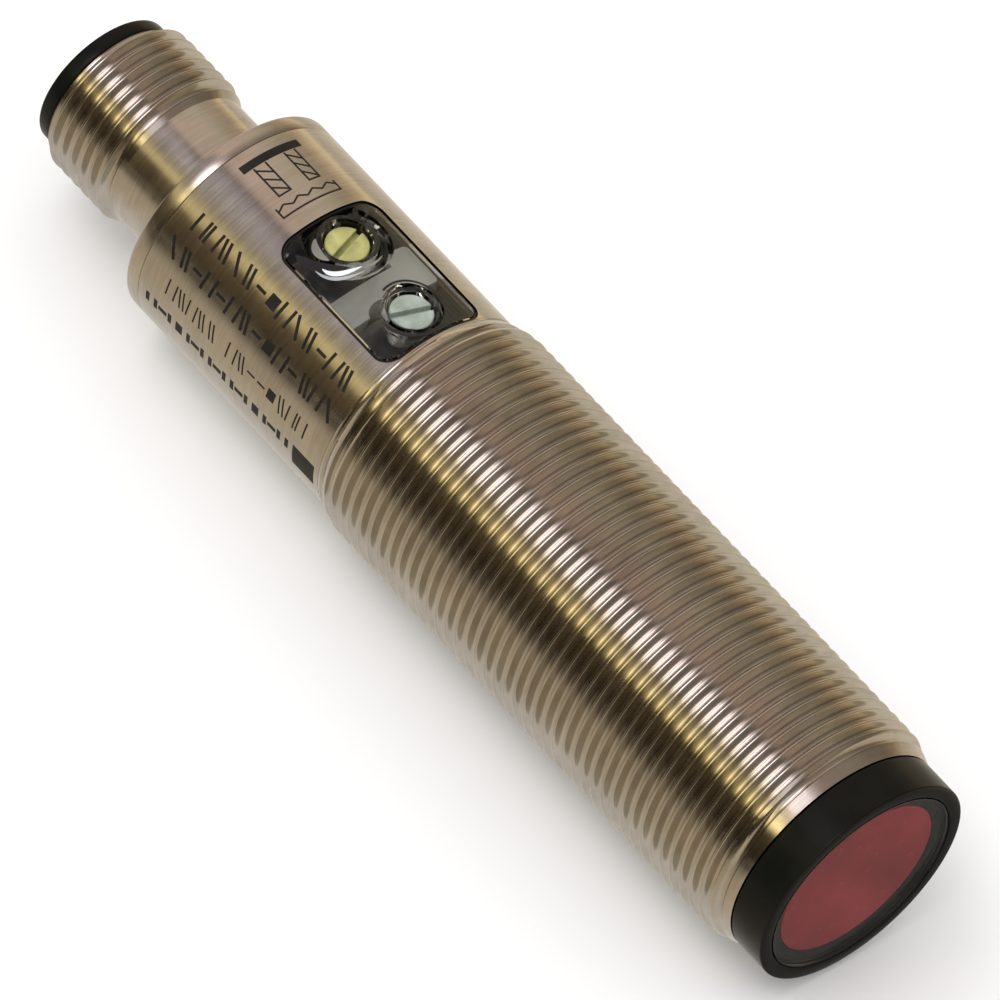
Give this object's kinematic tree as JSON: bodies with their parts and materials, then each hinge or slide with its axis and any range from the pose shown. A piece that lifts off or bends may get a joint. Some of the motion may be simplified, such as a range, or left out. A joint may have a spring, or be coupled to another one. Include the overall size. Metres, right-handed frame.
{
  "type": "photoelectric sensor",
  "caption": "Cylindrical M18 photoelectric sensor with threaded metal barrel, front window, two slotted adjusters under a clear window and an M12 connector.",
  "frame": {"origin": "centre of the sensing face, on the barrel's axis", "axes": "+X along the optical axis, out of the sensing face; +Z out of the adjuster window; +Y completes a right-handed frame"},
  "size_m": [0.0788, 0.018, 0.018],
  "materials": {
    "nickel_barrel": "nickel-plated brass, turned, warm bright satin",
    "nickel_connector": "nickel-plated brass, fine lathe lines",
    "ring_plastic": "black satin moulded plastic",
    "window_glass": "polished clear window",
    "seal_rubber": "matt black nitrile",
    "filter_red": "deep red filter film, polished",
    "lens_clear": "polished clear lens",
    "tube_plastic": "light-absorbing matt black plastic",
    "splitter_glass": "half-silvered glass plate",
    "holder_brass": "turned brass",
    "diode_can": "stamped metal can with tinned leads",
    "receiver_epoxy": "dark daylight-blocking epoxy",
    "circuit_board": "green solder mask",
    "flex_film": "amber polyimide film",
    "cradle_plastic": "grey moulded plastic",
    "chip_epoxy": "black moulded epoxy",
    "tantalum_yellow": "yellow moulded epoxy",
    "ferrite": "dark grey sintered ferrite",
    "header_plastic": "black moulded plastic",
    "pot_plastic": "blue moulded plastic",
    "switch_plastic": "dark grey moulded plastic",
    "led_green": "green diffused epoxy",
    "led_yellow": "yellow diffused epoxy",
    "gasket_rubber": "dark elastomer",
    "cover_clear": "clear moulded plastic, polished",
    "rotor_yellow": "yellow-green translucent plastic",
    "rotor_grey": "pale grey translucent plastic",
    "carrier_plastic": "black moulded plastic",
    "contact_gold": "gold-plated brass",
    "print_ink": "black pad-printed ink"
  },
  "bodies": {
    "housing": {"barrel_housing": "nickel_barrel", "connector_shell": "nickel_connector", "front_ring": "ring_plastic", "front_window": "window_glass", "front_seal_ring": "seal_rubber", "polarising_filter": "filter_red", "objective_lens": "lens_clear", "optics_tube": "tube_plastic", "beam_splitter": "splitter_glass", "emitter_holder": "holder_brass", "emitter_diode": "diode_can", "receiver_diode": "receiver_epoxy", "receiver_board": "circuit_board", "optics_flex": "flex_film", "main_board": "circuit_board", "board_cradle": "cradle_plastic", "signal_ic": "chip_epoxy", "driver_ic": "chip_epoxy", "protection_diode": "chip_epoxy", "buffer_capacitor": "tantalum_yellow", "supply_choke": "ferrite", "board_header": "header_plastic", "adjuster_board": "circuit_board", "sensitivity_pot": "pot_plastic", "mode_switch": "switch_plastic", "power_led": "led_green", "output_led": "led_yellow", "window_gasket": "gasket_rubber", "window_cover": "cover_clear", "sensitivity_seal": "seal_rubber", "mode_seal": "seal_rubber", "rear_seal_ring": "seal_rubber", "contact_carrier": "carrier_plastic", "contact_pin_1": "contact_gold", "contact_pin_2": "contact_gold", "contact_pin_3": "contact_gold", "contact_pin_4": "contact_gold", "connector_board": "circuit_board", "connector_flex": "flex_film"},
    "sensitivity_adjuster": {"sensitivity_rotor": "rotor_yellow"},
    "mode_adjuster": {"mode_rotor": "rotor_grey"}
  },
  "joints": [
    {"name": "sensitivity_turn", "type": "hinge", "parent": "housing", "child": "sensitivity_adjuster", "pos_m": [-0.0546, 0, 0.0079], "axis": [0, 0, 1], "range_deg": [-135, 135]},
    {"name": "mode_turn", "type": "hinge", "parent": "housing", "child": "mode_adjuster", "pos_m": [-0.0479, 0, 0.0079], "axis": [0, 0, 1], "range_deg": [0, 180]}
  ]
}
